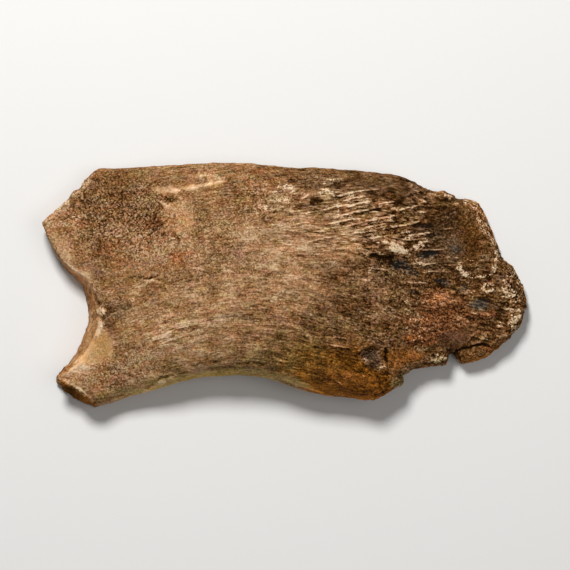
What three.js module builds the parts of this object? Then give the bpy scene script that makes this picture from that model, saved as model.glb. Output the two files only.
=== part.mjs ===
// A broken piece from the upper end of a fossil dinosaur rib: a flat blade with two natural margins, a forked end
// with a scooped notch between two prongs, and a thin, flaking, ragged end. It is one solid.
//
// Millimetres. +X runs from the fork to the ragged end, +Y to the straighter margin and +Z up. The bone lies on its
// flatter face. The origin is on the surface that it rests on, below the middle of its bounding box.
import * as THREE from "three";

const { lerp, clamp, smoothstep } = THREE.MathUtils;

// ---------------------------------------------------------------------------------------------------------------
// Driving dimensions
// ---------------------------------------------------------------------------------------------------------------

const THICKEST = 17.5; // through the swell behind the notch
const MARGIN_BULGE = 1.1; // how far a natural margin stands out between its two faces
const TOP_SPACING = 2.05; // between mesh corners on the top face
const UNDER_SPACING = 3.3; // between mesh corners on the underside
const WALL_ROWS = 4; // rows of faces down the edge of the bone
const DEPTHS = Array.from({ length: WALL_ROWS + 1 }, (_, row) => row / WALL_ROWS);
const EDGE_LAYERS = [0.9, 2.2, 4.0]; // distances in from the edge at which the mesh follows it
const CHIP_LENGTH = 1.9; // of the irregular chips in the broken edges
const CHIP_ROWS = 3.5; // chips from the crown to the foot

// Thickness along the bone, as a share of THICKEST: [x, share].
const THICKNESS_ALONG = [
  [-70, 0.56],
  [-48, 0.8],
  [-14, 1],
  [18, 0.84],
  [42, 0.58],
  [60, 0.42],
  [70, 0.32],
];

// Thickness across the bone, from the hollow margin at 0 to the straight margin at 1.
const THICKNESS_ACROSS = [
  [0, 0.84],
  [0.3, 1],
  [0.62, 0.86],
  [1, 0.52],
];

// Height of the underside along the bone. Where it would pass below the ground it is worn flat instead, so the bone
// stands on its two prongs and on a band near the ragged end.
const UNDERSIDE_ALONG = [
  [-70, 1.1],
  [-56, -0.75],
  [-28, 1.5],
  [2, 2.2],
  [28, 1.1],
  [47, -0.7],
  [70, 1.7],
];

// The two natural margins, for working out how far across the bone a point lies: [x, y].
const HOLLOW_MARGIN = [
  [-70, -33],
  [-52, -34],
  [-28, -27.5],
  [-12, -26],
  [4, -29.5],
  [22, -33],
  [70, -24],
];
const STRAIGHT_MARGIN = [
  [-70, 31],
  [-20, 35],
  [30, 32.5],
  [70, 20],
];

// The kinds of edge.
// step: distance between mesh corners along it. crown and foot: the shares of the thickness at which the edge face
// starts and ends. ease: the width over which the broad faces bend down to it. bulge: how far the edge face stands
// out between crown and foot, or is hollowed if negative. chips: the depth of the small irregular chips in it.
const NATURAL = { step: 2.1, crown: 0.64, foot: 0.3, ease: 8, bulge: MARGIN_BULGE, chips: 0.05 };
const OLD_BREAK = { step: 1.5, crown: 0.93, foot: 0.1, ease: 1.8, bulge: 0.2, chips: 0.22 };
const SCOOPED = { step: 1.5, crown: 0.95, foot: 0.08, ease: 1.5, bulge: -0.5, chips: 0.12 };
const HOLLOW_BREAK = { step: 1.3, crown: 0.96, foot: 0.1, ease: 0.9, bulge: -1.5, chips: 0.3 };
const RAGGED = { step: 1.0, crown: 0.86, foot: 0.14, ease: 2.6, bulge: 0.3, chips: 0.32 };

// The outline from above, anticlockwise. Each section runs on from the last point of the one before it.
// curved: a smooth curve through the points, and otherwise straight breaks between them. lean: how far the foot of
// the edge face stands out beyond its crown, at even stations along the section, and negative where it is undercut.
const OUTLINE = [
  {
    name: "shoulder of the upper prong",
    edge: OLD_BREAK,
    lean: [-0.6, -0.4, 0.1, 1.1],
    points: [
      [-68.8, 15.2],
      [-67.5, 12],
      [-65.5, 8.3],
      [-64.1, 5.3],
    ],
  },
  {
    name: "notch between the prongs",
    edge: SCOOPED,
    curved: true,
    lean: [1.1, 1.7, 3.4, 4.4, 4.7, 4.1, 3.4, 2.4, 0.8],
    points: [
      [-61.4, 2.8],
      [-58.9, 0.4],
      [-57.7, -3.2],
      [-56.8, -7.2],
      [-56.6, -10.6],
      [-57.7, -13.4],
      [-59, -17],
      [-60.8, -20.2],
      [-63, -22.8],
      [-65.3, -25.1],
      [-66.2, -27.4],
    ],
  },
  {
    name: "hollow end of the lower prong",
    edge: HOLLOW_BREAK,
    lean: [0.7, 2.3, 2.8, 2.4, 0.6],
    points: [
      [-65.3, -28.9],
      [-63.1, -31],
      [-60.7, -32.9],
      [-58.2, -34.2],
      [-54.9, -35.2],
    ],
  },
  {
    name: "hollow margin",
    edge: NATURAL,
    curved: true,
    lean: [0.3, 0, 0, 0],
    points: [
      [-50.9, -34.1],
      [-45.8, -32.4],
      [-35.4, -29.5],
      [-25.1, -26.7],
      [-18.2, -26.1],
      [-11.3, -26.1],
      [-5.5, -26.8],
      [-1, -28.1],
      [4.2, -30.1],
      [9.3, -31.4],
      [14.5, -32.1],
      [19.7, -32.7],
      [22.5, -33.1],
    ],
  },
  {
    name: "ragged corner",
    edge: RAGGED,
    lean: [0.2, 0.6, 0.9, 0.6],
    points: [
      [25.7, -32.8],
      [28.3, -31.8],
      [30.3, -30.4],
      [31.3, -29.5],
      [33.4, -28.9],
      [34.3, -27.6],
      [33.8, -26.1],
      [35, -25.5],
      [35.8, -24.6],
      [37.6, -24.1],
      [40.6, -23.6],
      [43.2, -23.4],
      [45.9, -23.1],
      [46.6, -21.6],
      [47, -20.2],
      [47.8, -19.7],
      [48.7, -20.2],
      [49.6, -21.4],
      [51, -22.5],
      [53.3, -22.1],
      [56.5, -21.2],
      [58.5, -20.4],
    ],
  },
  {
    name: "thin rounded end",
    edge: RAGGED,
    lean: [0.6, 1.2, 1.5, 1.6, 1.4, 1.2],
    points: [
      [60.5, -18.4],
      [62.8, -16.8],
      [65, -14.8],
      [66.8, -12.5],
      [68.5, -10],
      [69, -7.6],
      [69.9, -6.6],
      [69.3, -5.2],
      [69, -3.2],
      [68.3, -0.3],
      [67, 2.6],
      [65.3, 5.2],
      [63.1, 7.2],
      [62.1, 8.9],
      [61, 11.5],
      [60, 14.1],
      [58.9, 16.6],
      [58, 17.7],
      [58.1, 19.2],
      [57.1, 20.1],
      [56.4, 21.8],
      [55.7, 23.4],
    ],
  },
  {
    name: "chipped upper corner",
    edge: RAGGED,
    lean: [0.9, 0.5, 0.2],
    points: [
      [54.1, 24.1],
      [50.9, 24.7],
      [49.2, 25],
      [48.3, 26.1],
      [46.3, 26.5],
      [44, 26.4],
      [41.2, 27.5],
      [38, 29],
      [35.7, 30.4],
    ],
  },
  {
    name: "straight margin",
    edge: NATURAL,
    curved: true,
    lean: [0, -0.3, -0.3, -0.3],
    points: [
      [33.4, 31.3],
      [28.8, 32],
      [23.1, 32.7],
      [16.2, 33.3],
      [9.3, 33.6],
      [3, 33.6],
      [-2.2, 34],
      [-7, 34.7],
      [-14.2, 35.1],
      [-21.7, 34.9],
      [-30.3, 34.6],
      [-38.9, 34.1],
      [-46.9, 33.6],
      [-53.7, 33.6],
    ],
  },
  {
    name: "oblique break across the upper prong",
    edge: OLD_BREAK,
    lean: [-0.3, -0.8, -0.8, -0.6],
    points: [
      [-55.5, 32.4],
      [-57.5, 30.3],
      [-58.7, 28],
      [-61.5, 26.3],
      [-62.4, 24.8],
      [-64, 23.2],
      [-66.7, 20.7],
      [-69, 19],
      [-69.8, 18],
    ],
  },
];

const RELIEF_START = 2.2; // distance in from the edge at which the forms and waves below have their full height

// Forms on the top face. Each is an oval, centred at [x, y] and turned by turn degrees, with half its length and
// half its width. rise: its height above the face, negative below it. rim: the share of the oval over which it
// rises, from 0.05 for a crisp ledge to 1 for a soft swell.
const TOP_FORMS = [
  { name: "dished shoulder", at: [-46, 19], half: [19, 12], turn: 12, rise: -0.8, rim: 1 },
  { name: "worn slope beside the notch", at: [-55.5, -21], half: [9, 5.5], turn: 55, rise: -1.3, rim: 0.8 },
  { name: "swell behind the notch", at: [-34, -14], half: [20, 10], turn: 8, rise: 0.7, rim: 1 },
  { name: "long scar", at: [-27.5, 29.6], half: [11, 1.9], turn: 14, rise: -0.6, rim: 0.7 },
  { name: "small pit", at: [9.3, 23.8], half: [2.4, 1.5], turn: 0, rise: -0.9, rim: 0.7 },
  { name: "long pit", at: [28.8, 7.4], half: [6.6, 2], turn: -15, rise: -1.1, rim: 0.7 },
  { name: "round pit", at: [38.8, 8.6], half: [4, 2.2], turn: 5, rise: -0.8, rim: 0.8 },
  { name: "raised outer plate", at: [49.5, 14], half: [11.5, 10.5], turn: -55, rise: 0.8, rim: 0.14 },
  { name: "sunken lower sheet", at: [66, -5], half: [7.5, 15], turn: 4, rise: -0.9, rim: 0.4 },
  { name: "hollow at the corner", at: [25.2, -21], half: [4.6, 3.4], turn: 15, rise: -1.5, rim: 0.45 },
  { name: "flaked bed", at: [36.8, -20.8], half: [8.6, 4.2], turn: 4, rise: -0.8, rim: 0.18 },
  { name: "tongue below the crack", at: [55.3, -20], half: [7, 3], turn: 12, rise: -1, rim: 0.2 },
  { name: "swell of the corner", at: [17, -26], half: [11, 5], turn: -12, rise: 0.7, rim: 1 },
];

// Forms on the underside, where rise is still upwards, so a groove rises into the bone.
const UNDER_FORMS = [
  { name: "long groove", at: [-4, -15], half: [46, 6.5], turn: -3, rise: 2, rim: 1 },
  { name: "spall that bares spongy bone", at: [22, 15], half: [21, 5.5], turn: 7, rise: 1, rim: 0.3 },
  { name: "second spall", at: [-36, 12], half: [11, 4], turn: -8, rise: 0.8, rim: 0.35 },
];

// Uneven ground of both broad faces: the height of the waves, and their length along and across the bone. Fibres fan
// out towards the ragged end, so the waves are laid out over the bone's typical width and not along Y.
const WAVES = { height: 0.55, along: 17, across: 6.5 };
const FIBRES = { height: 0.3, along: 22, across: 3.4 };
const WIDTH = 62;
const TOP_PATTERN = 0; // which slice of the noise each face takes
const UNDER_PATTERN = 3;

// ---------------------------------------------------------------------------------------------------------------
// Small tools
// ---------------------------------------------------------------------------------------------------------------

// The value at x of a profile given by [x, value] stations, eased between them.
function along(x, stations) {
  const last = stations.length - 1;
  if (x <= stations[0][0]) return stations[0][1];
  if (x >= stations[last][0]) return stations[last][1];
  const i = stations.findIndex((s) => s[0] > x);
  const [x0, v0] = stations[i - 1];
  const [x1, v1] = stations[i];
  return lerp(v0, v1, smoothstep(x, x0, x1));
}

// A number from 0 to 1 that looks random and is always the same for the same lattice point.
function hash(i, j, k) {
  let h = Math.imul(i, 374761393) + Math.imul(j, 668265263) + Math.imul(k, 1103515245);
  h = Math.imul(h ^ (h >>> 13), 1274126177);
  return ((h ^ (h >>> 16)) >>> 0) / 4294967295;
}

// Smooth noise from -1 to 1, with one wave about every unit.
function noise(x, y, z = 0) {
  const cell = [x, y, z].map(Math.floor);
  const [fx, fy, fz] = [x, y, z].map((v, n) => smoothstep(v - cell[n], 0, 1));
  const corner = (i, j, k) => hash(cell[0] + i, cell[1] + j, cell[2] + k);
  const row = (j, k) => lerp(corner(0, j, k), corner(1, j, k), fx);
  const sheet = (k) => lerp(row(0, k), row(1, k), fy);
  return 2 * lerp(sheet(0), sheet(1), fz) - 1;
}

// How far an oval form raises the point x, y.
function raisedBy(form, x, y) {
  const turn = THREE.MathUtils.degToRad(form.turn);
  const dx = x - form.at[0];
  const dy = y - form.at[1];
  const u = (dx * Math.cos(turn) + dy * Math.sin(turn)) / form.half[0];
  const v = (dy * Math.cos(turn) - dx * Math.sin(turn)) / form.half[1];
  return form.rise * (1 - smoothstep(Math.hypot(u, v), 1 - form.rim, 1));
}

const raisedByAll = (forms, x, y) => forms.reduce((sum, form) => sum + raisedBy(form, x, y), 0);

// ---------------------------------------------------------------------------------------------------------------
// The two broad faces
// ---------------------------------------------------------------------------------------------------------------

// How far across the bone a point lies, from 0 at the hollow margin to 1 at the straight one.
function across(x, y) {
  const low = along(x, HOLLOW_MARGIN);
  return clamp((y - low) / (along(x, STRAIGHT_MARGIN) - low), 0, 1);
}

const thickness = (x, y) => THICKEST * along(x, THICKNESS_ALONG) * along(across(x, y), THICKNESS_ACROSS);

function unevenness(x, y, pattern) {
  const v = across(x, y) * WIDTH;
  const broad = noise(x / WAVES.along, v / WAVES.across, pattern) * WAVES.height;
  const fine = noise(x / FIBRES.along, v / FIBRES.across, pattern + 0.5) * FIBRES.height;
  return broad + fine;
}

const underside = (x, y) => along(x, UNDERSIDE_ALONG) + 1.2 * (across(x, y) - 0.45) ** 2;

// A quarter round, from 0 at the edge of a broad face to 1 at the distance ease.
const roundOff = (d, ease) => Math.sqrt(1 - (1 - clamp(d / ease, 0, 1)) ** 2);

// The height of one broad face at x, y. near: the nearest corner of that face's own edge, at distance d.
function topHeight(x, y, near, d) {
  const share = lerp(near.edge.crown, 1, roundOff(d, near.edge.ease));
  const relief = raisedByAll(TOP_FORMS, x, y) + unevenness(x, y, TOP_PATTERN);
  return underside(x, y) + thickness(x, y) * share + relief * smoothstep(d, 0, RELIEF_START);
}

function underHeight(x, y, near, d) {
  const share = lerp(near.edge.foot, 0, roundOff(d, near.edge.ease));
  const relief = raisedByAll(UNDER_FORMS, x, y) + unevenness(x, y, UNDER_PATTERN);
  return Math.max(0, underside(x, y) + thickness(x, y) * share + relief * smoothstep(d, 0, RELIEF_START));
}

// ---------------------------------------------------------------------------------------------------------------
// The edge: rings of corners from the crown to the foot
// ---------------------------------------------------------------------------------------------------------------

// Points at even steps along one section of the outline, which starts at the point from.
function sampleSection(section, from) {
  const corners = [from, ...section.points].map(([x, y]) => new THREE.Vector3(x, y, 0));
  const path = new THREE.CurvePath();
  if (section.curved) path.add(new THREE.CatmullRomCurve3(corners, false, "centripetal"));
  else corners.slice(1).forEach((corner, i) => path.add(new THREE.LineCurve3(corners[i], corner)));
  const count = Math.max(2, Math.round(path.getLength() / section.edge.step));
  return Array.from({ length: count }, (_, i) => {
    const share = (i + 1) / count;
    const place = share * (section.lean.length - 1);
    const station = Math.min(Math.floor(place), section.lean.length - 2);
    const lean = lerp(section.lean[station], section.lean[station + 1], place - station);
    const { x, y } = path.getPointAt(share);
    return { x, y, lean, edge: section.edge };
  });
}

function sampleOutline() {
  let from = OUTLINE.at(-1).points.at(-1);
  return OUTLINE.flatMap((section) => {
    const samples = sampleSection(section, from);
    from = section.points.at(-1);
    return samples;
  });
}

// The average of a property over the neighbours of corner i on a closed ring.
function neighbourhood(ring, i, reach, value) {
  let sum = 0;
  for (let k = -reach; k <= reach; k++) sum += value(ring[(i + k + ring.length) % ring.length]);
  return sum / (2 * reach + 1);
}

// Blends the kinds of edge into each other, and finds which way is out at each corner.
function dressOutline(outline) {
  const blend = 2;
  const straighten = 4;
  const blended = outline.map((corner, i) => {
    const mean = (value) => neighbourhood(outline, i, blend, value);
    const edge = {};
    for (const key of Object.keys(corner.edge)) edge[key] = mean((c) => c.edge[key]);
    return { ...corner, edge, lean: mean((c) => c.lean) };
  });
  return blended.map((corner, i) => {
    const at = (k) => outline[(i + k + outline.length) % outline.length];
    const dx = at(straighten).x - at(-straighten).x;
    const dy = at(straighten).y - at(-straighten).y;
    const length = Math.hypot(dx, dy);
    return { ...corner, out: [dy / length, -dx / length] };
  });
}

// The ring of corners at a depth in the edge face, from 0 at its crown to 1 at its foot. The part of the face that
// stands out furthest lies on the outline.
function ringAt(outline, depth) {
  return outline.map((corner) => {
    const { lean, out, edge } = corner;
    const reachAt = (share) => lean * share + edge.bulge * 4 * share * (1 - share);
    const furthest = Math.max(...DEPTHS.map(reachAt));
    const chip = edge.chips * noise(corner.x / CHIP_LENGTH, corner.y / CHIP_LENGTH, depth * CHIP_ROWS);
    const reach = reachAt(depth) - furthest + chip;
    return { ...corner, x: corner.x + out[0] * reach, y: corner.y + out[1] * reach };
  });
}

// ---------------------------------------------------------------------------------------------------------------
// Filling a ring with triangles
// ---------------------------------------------------------------------------------------------------------------

const next = (ring, i) => ring[(i + 1) % ring.length];

function isInside(ring, x, y) {
  let inside = false;
  ring.forEach((a, i) => {
    const b = next(ring, i);
    if (a.y > y !== b.y > y && x < a.x + ((y - a.y) / (b.y - a.y)) * (b.x - a.x)) inside = !inside;
  });
  return inside;
}

// The corner of the ring that x, y is nearest to, and its distance from the ring's line.
function nearestOn(ring, x, y) {
  const found = { d: Infinity, near: ring[0] };
  ring.forEach((a, i) => {
    const b = next(ring, i);
    const [ex, ey] = [b.x - a.x, b.y - a.y];
    const t = clamp(((x - a.x) * ex + (y - a.y) * ey) / (ex * ex + ey * ey), 0, 1);
    const d = Math.hypot(a.x + t * ex - x, a.y + t * ey - y);
    if (d < found.d) Object.assign(found, { d, near: t < 0.5 ? a : b });
  });
  return found;
}

// Points inside a ring: layers that follow its edge, then an even field. None lies too close to another.
function fillRing(ring, spacing) {
  const taken = ring.map(({ x, y }) => [x, y]);
  const points = [];
  const offer = (x, y, clearOfEdge, apart) => {
    if (!isInside(ring, x, y) || nearestOn(ring, x, y).d < clearOfEdge) return;
    if (taken.some(([px, py]) => Math.hypot(px - x, py - y) < apart)) return;
    taken.push([x, y]);
    points.push([x, y]);
  };
  EDGE_LAYERS.forEach((layer, n) => {
    const apart = lerp(1, spacing, (n + 1) / EDGE_LAYERS.length) * 0.8;
    ring.forEach(({ x, y, out }) => offer(x - out[0] * layer, y - out[1] * layer, layer * 0.8, Math.min(apart, layer)));
  });
  const rowHeight = (spacing * Math.sqrt(3)) / 2;
  const box = new THREE.Box2().setFromPoints(ring.map(({ x, y }) => new THREE.Vector2(x, y)));
  for (let row = 0, y = box.min.y; y < box.max.y; row++, y += rowHeight)
    for (let x = box.min.x + (row % 2 ? spacing / 2 : 0); x < box.max.x; x += spacing) {
      const jitter = [hash(Math.round(x * 10), row, 1) - 0.5, hash(Math.round(x * 10), row, 2) - 0.5];
      offer(x + jitter[0] * 0.3, y + jitter[1] * 0.3, EDGE_LAYERS.at(-1), spacing * 0.75);
    }
  return points;
}

// The Delaunay triangles of a set of points, as triples of indices that turn anticlockwise. Each point in turn
// replaces the triangles whose circumscribed circle holds it.
function delaunay(points) {
  const far = 1e4;
  const all = [...points, [-far, -far], [far, -far], [0, far]];
  const circled = (a, b, c) => {
    const [[ax, ay], [bx, by], [cx, cy]] = [all[a], all[b], all[c]];
    const [ux, uy, vx, vy] = [bx - ax, by - ay, cx - ax, cy - ay];
    const twiceArea = 2 * (ux * vy - uy * vx);
    const x = (vy * (ux * ux + uy * uy) - uy * (vx * vx + vy * vy)) / twiceArea;
    const y = (ux * (vx * vx + vy * vy) - vx * (ux * ux + uy * uy)) / twiceArea;
    return { corners: [a, b, c], x: ax + x, y: ay + y, reach: x * x + y * y };
  };
  let triangles = [circled(points.length, points.length + 1, points.length + 2)];
  points.forEach(([x, y], i) => {
    const holds = ({ x: cx, y: cy, reach }) => (x - cx) ** 2 + (y - cy) ** 2 < reach;
    const edges = new Map();
    triangles.filter(holds).forEach(({ corners }) =>
      corners.forEach((a, n) => {
        const b = corners[(n + 1) % 3];
        if (!edges.delete(b + "," + a)) edges.set(a + "," + b, [a, b]);
      }),
    );
    triangles = triangles.filter((triangle) => !holds(triangle));
    for (const [a, b] of edges.values()) triangles.push(circled(a, b, i));
  });
  return triangles.map(({ corners }) => corners).filter((corners) => corners.every((c) => c < points.length));
}

// One broad face: its inner corners, and its triangles. Indices under ring.length are corners of the ring.
function broadFace(ring, spacing, heightOf) {
  const inner = fillRing(ring, spacing);
  const points = [...ring.map(({ x, y }) => [x, y]), ...inner];
  const middle = (triangle, axis) => triangle.reduce((sum, i) => sum + points[i][axis] / 3, 0);
  const triangles = delaunay(points).filter((triangle) => isInside(ring, middle(triangle, 0), middle(triangle, 1)));
  const corners = inner.map(([x, y]) => {
    const { near, d } = nearestOn(ring, x, y);
    return [x, y, heightOf(x, y, near, d)];
  });
  return { corners, triangles };
}

// ---------------------------------------------------------------------------------------------------------------
// The bone
// ---------------------------------------------------------------------------------------------------------------

function ribGeometry() {
  const outline = dressOutline(sampleOutline());
  const rings = DEPTHS.map((depth) => ringAt(outline, depth));
  const crown = rings[0];
  const foot = rings.at(-1);
  const top = broadFace(crown, TOP_SPACING, topHeight);
  const under = broadFace(foot, UNDER_SPACING, underHeight);

  const count = outline.length;
  const crownHeights = crown.map((corner) => topHeight(corner.x, corner.y, corner, 0));
  const footHeights = foot.map((corner) => underHeight(corner.x, corner.y, corner, 0));
  const edgeCorners = rings.flatMap((ring, row) =>
    ring.map(({ x, y }, i) => [x, y, lerp(crownHeights[i], footHeights[i], DEPTHS[row])]),
  );
  const corners = [...edgeCorners, ...top.corners, ...under.corners];

  const topStart = edgeCorners.length;
  const underStart = topStart + top.corners.length;
  const footStart = WALL_ROWS * count;
  const faces = [];
  for (const triangle of top.triangles) faces.push(triangle.map((i) => (i < count ? i : topStart + i - count)));
  for (const triangle of under.triangles)
    faces.push(triangle.map((i) => (i < count ? footStart + i : underStart + i - count)).reverse());
  for (let row = 0; row < WALL_ROWS; row++)
    for (let i = 0; i < count; i++) {
      const [a, b] = [row * count + i, row * count + ((i + 1) % count)];
      faces.push([a, a + count, b + count], [a, b + count, b]);
    }

  const geometry = new THREE.BufferGeometry();
  geometry.setAttribute("position", new THREE.Float32BufferAttribute(corners.flat(), 3));
  geometry.setIndex(faces.flat());
  geometry.computeBoundingBox();
  const middle = geometry.boundingBox.getCenter(new THREE.Vector3());
  geometry.translate(-middle.x, -middle.y, -geometry.boundingBox.min.z);
  geometry.computeVertexNormals();
  return geometry;
}

const fossilBone = new THREE.MeshStandardMaterial({ color: 0x8b6642, roughness: 0.8, metalness: 0 });

const rib = new THREE.Mesh(ribGeometry(), fossilBone);
rib.name = "rib";

const object = new THREE.Group();
object.add(rib);

export default object;
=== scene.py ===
import math

import bmesh
import bpy
import numpy as np
from bpy.props import FloatProperty, FloatVectorProperty, IntProperty, PointerProperty
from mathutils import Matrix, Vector


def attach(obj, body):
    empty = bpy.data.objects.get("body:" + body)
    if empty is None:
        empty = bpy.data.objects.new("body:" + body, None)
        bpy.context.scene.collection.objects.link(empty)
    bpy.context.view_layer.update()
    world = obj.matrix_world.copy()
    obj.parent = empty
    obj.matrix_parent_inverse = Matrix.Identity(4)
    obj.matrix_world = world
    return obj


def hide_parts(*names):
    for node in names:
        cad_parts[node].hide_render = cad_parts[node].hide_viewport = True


bl_info = {
    "name": "Fossil Rib",
    "version": (1, 0, 0),
    "blender": (4, 5, 0),
    "location": "3D View > Sidebar > Fossil",
    "description": "Dresses the upper end of a fossil dinosaur rib and sets its studio",
    "category": "Add Mesh",
}

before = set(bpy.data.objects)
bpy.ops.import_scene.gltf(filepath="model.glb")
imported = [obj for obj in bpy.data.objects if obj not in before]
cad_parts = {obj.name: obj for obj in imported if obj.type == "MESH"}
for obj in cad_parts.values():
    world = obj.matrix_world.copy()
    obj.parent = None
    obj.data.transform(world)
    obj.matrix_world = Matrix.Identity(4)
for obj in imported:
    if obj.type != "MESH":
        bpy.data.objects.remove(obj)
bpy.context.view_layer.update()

MM = 0.001


# ---- The bone's own map, in millimetres from the middle of its bounding box ----
# +X runs to the ragged end and +Y to the straight margin.

# Fibres run between these two lines and share the space evenly, so they fan out to the ragged end.
LOW_FIBRE = [(-75, -40), (-52, -34.5), (-25, -27.2), (-12, -26), (4, -28.6), (22, -35), (45, -44), (75, -57)]
HIGH_FIBRE = [(-75, 33), (-20, 34.6), (0, 37.5), (30, 44), (75, 54)]
FIBRE_WIDTH = 61  # about the space between them at the waist of the bone

# The two natural margins: the x at which each begins, is full, fades and ends, and the y that it lies beyond.
LOWER_MARGIN = (-55, -51, 21, 26)
LOWER_MARGIN_Y = -15
UPPER_MARGIN = (-56, -53, 34, 37)
UPPER_MARGIN_Y = 12

# What the mesh carries for its material: its lightness, and its shares of chalk, of textures and of stains.
STAINS = ("rust", "ochre", "ash", "slate", "amber", "moss", "mauve")
CHANNELS = ("tone", "chalk", "grainy", "pitted", "fibrous", "spongy", *STAINS)
PLAIN_BONE = {"tone": 0.48, "grainy": 0.56, "fibrous": 0.55, "pitted": 0.1, "chalk": 0.06}

# What each finish adds to the plain bone. raise is height in millimetres.
FINISHES = {
    "bared bone": {"tone": 0.25, "chalk": 0.3, "fibrous": -0.4, "grainy": -0.4, "raise": -0.1},
    "worn bone": {"tone": 0.17, "chalk": 0.2, "grainy": 0.2},
    "pale line": {"tone": 0.24, "raise": 0.08},
    "pale rim": {"tone": 0.2, "grainy": 0.2, "chalk": 0.1},
    "olive rim": {"tone": 0.16, "moss": 0.7, "ochre": 0.2},
    "crust": {"tone": 0.18, "chalk": 0.4, "grainy": 0.5, "raise": 0.2, "fibrous": -0.5, "ash": -0.3},
    "orange crust": {"tone": 0.14, "rust": 0.4, "chalk": 0.35, "grainy": 0.5, "raise": 0.2, "fibrous": -0.5},
    "crust lump": {"tone": 0.45, "chalk": 0.8, "grainy": 0.5, "raise": 0.7, "fibrous": -0.5, "ash": -0.6},
    "notch lip": {"tone": 0.24, "chalk": 0.26, "grainy": 0.3, "raise": 0.08, "ochre": -0.3, "rust": -0.2},
    "grey lump": {"tone": 0.04, "chalk": 0.25, "moss": 0.7, "grainy": 1.0, "raise": 0.5, "fibrous": -0.5},
    "chip": {"tone": 0.13, "chalk": 0.4, "grainy": 0.4, "raise": 0.12},
    "white chip": {"tone": 0.22, "chalk": 0.5, "grainy": 0.5, "raise": 0.2},
    "orange core": {"tone": -0.05, "rust": 0.6, "chalk": -0.3, "raise": -0.1},
    "white crust": {"tone": 0.26, "chalk": 0.5, "grainy": 1.0, "raise": 0.3, "ash": 0.3, "moss": -0.2},
    "rust streak": {"tone": 0.17, "rust": 0.4, "ochre": 0.4, "chalk": 0.1, "grainy": 0.5, "raise": 0.15},
    # A ledge's crest is a little paler, partly as a painted highlight, and its groove darker as painted shade
    "ledge crest": {"tone": 0.02, "chalk": 0.08, "raise": 0.14},
    "ledge groove": {"tone": -0.02, "chalk": -0.15, "raise": -0.18},
    # A groove darkened with painted shade
    "groove with painted shade": {"tone": -0.1, "chalk": -0.3, "raise": -0.25},
    # The next two darken holes and pits with painted shade
    "hollow": {"tone": -0.16, "chalk": -0.5, "raise": -0.6},
    "shallow hollow": {"tone": -0.07, "chalk": -0.2, "raise": -0.5},
    "crack": {"tone": -0.25, "chalk": -0.5, "raise": -0.5},
    # Stains, and painted shade where these marks lie in pits, in hollows and below chips
    "dark stain and painted shade": {"tone": -0.13, "chalk": -0.2},
    # painted shade darkening a small hollow
    "dent with painted shade": {"tone": -0.16, "chalk": -0.3, "raise": -0.25},
}
CRUMBLY = 0.5  # marks at least this grainy have crumbly sides
TALL = 0.6  # marks that stand at least this high have smoother sides
LEDGE_WIDTH = 0.45  # half the width of a ledge's crest and of its groove
LEDGE_DROP = 1.0  # from the crest of a ledge down to its groove
RIM_DRIFT = 1.6  # how far the rims of the areas wander
DRIFT_LENGTH = 9  # from one bend of a rim to the next
UNDERSIDE_LOSS = 0.65  # how much of their strength the areas lose on the underside

# The square sheet that the bone is laid out on: the top above the underside, and the edge in two strips, one
# below both and one to the right of them.
SHEET = 156
SHEET_X = 70.6
TOP_Y = 120.0
UNDER_Y = 48.8
FIRST_STRIP_AT = (1.2, 0.4)
SECOND_STRIP_AT = (141.6, 14.6)
STRIP_LENGTH = 290
FIRST_STRIP = 0.525  # the share of the edge in the first strip
HUB = (25, 10)  # every part of the edge is in sight from here
BEARINGS = 720  # the edge is measured at so many bearings from the hub
EDGE_SLOPE = 0.4  # the edge is where a face's normal rises or falls by less than this

# The lamps of the studio, in metres: where each hangs, how wide it is, and the point that both are turned to.
KEY_AT = (-0.14, 0.46, 0.64)
KEY_SIZE = 0.22
FILL_AT = (0.5, -0.1, 0.85)
FILL_SIZE = 0.7
AIM = (0, 0, 0.01)


def oval(x, y, half_length, half_width, turn=0, **adds):
    """An oval area: its middle, its size, its turn in degrees, and what it adds to each channel."""
    return (x, y), (half_length, half_width), turn, adds


# The smooth wall of the notch, where the bone isn't spongy as it is in the other breaks. Its raised tone is
# painted light that pales the steep wall.
NOTCH_WALL = oval(-60, -11, 8, 20, spongy=-0.8, tone=0.13, rust=0.35, grainy=-0.3, fibrous=-0.3)
LIP_SLOPE = 0.78  # how far up the surface faces on the lip of the notch

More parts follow.
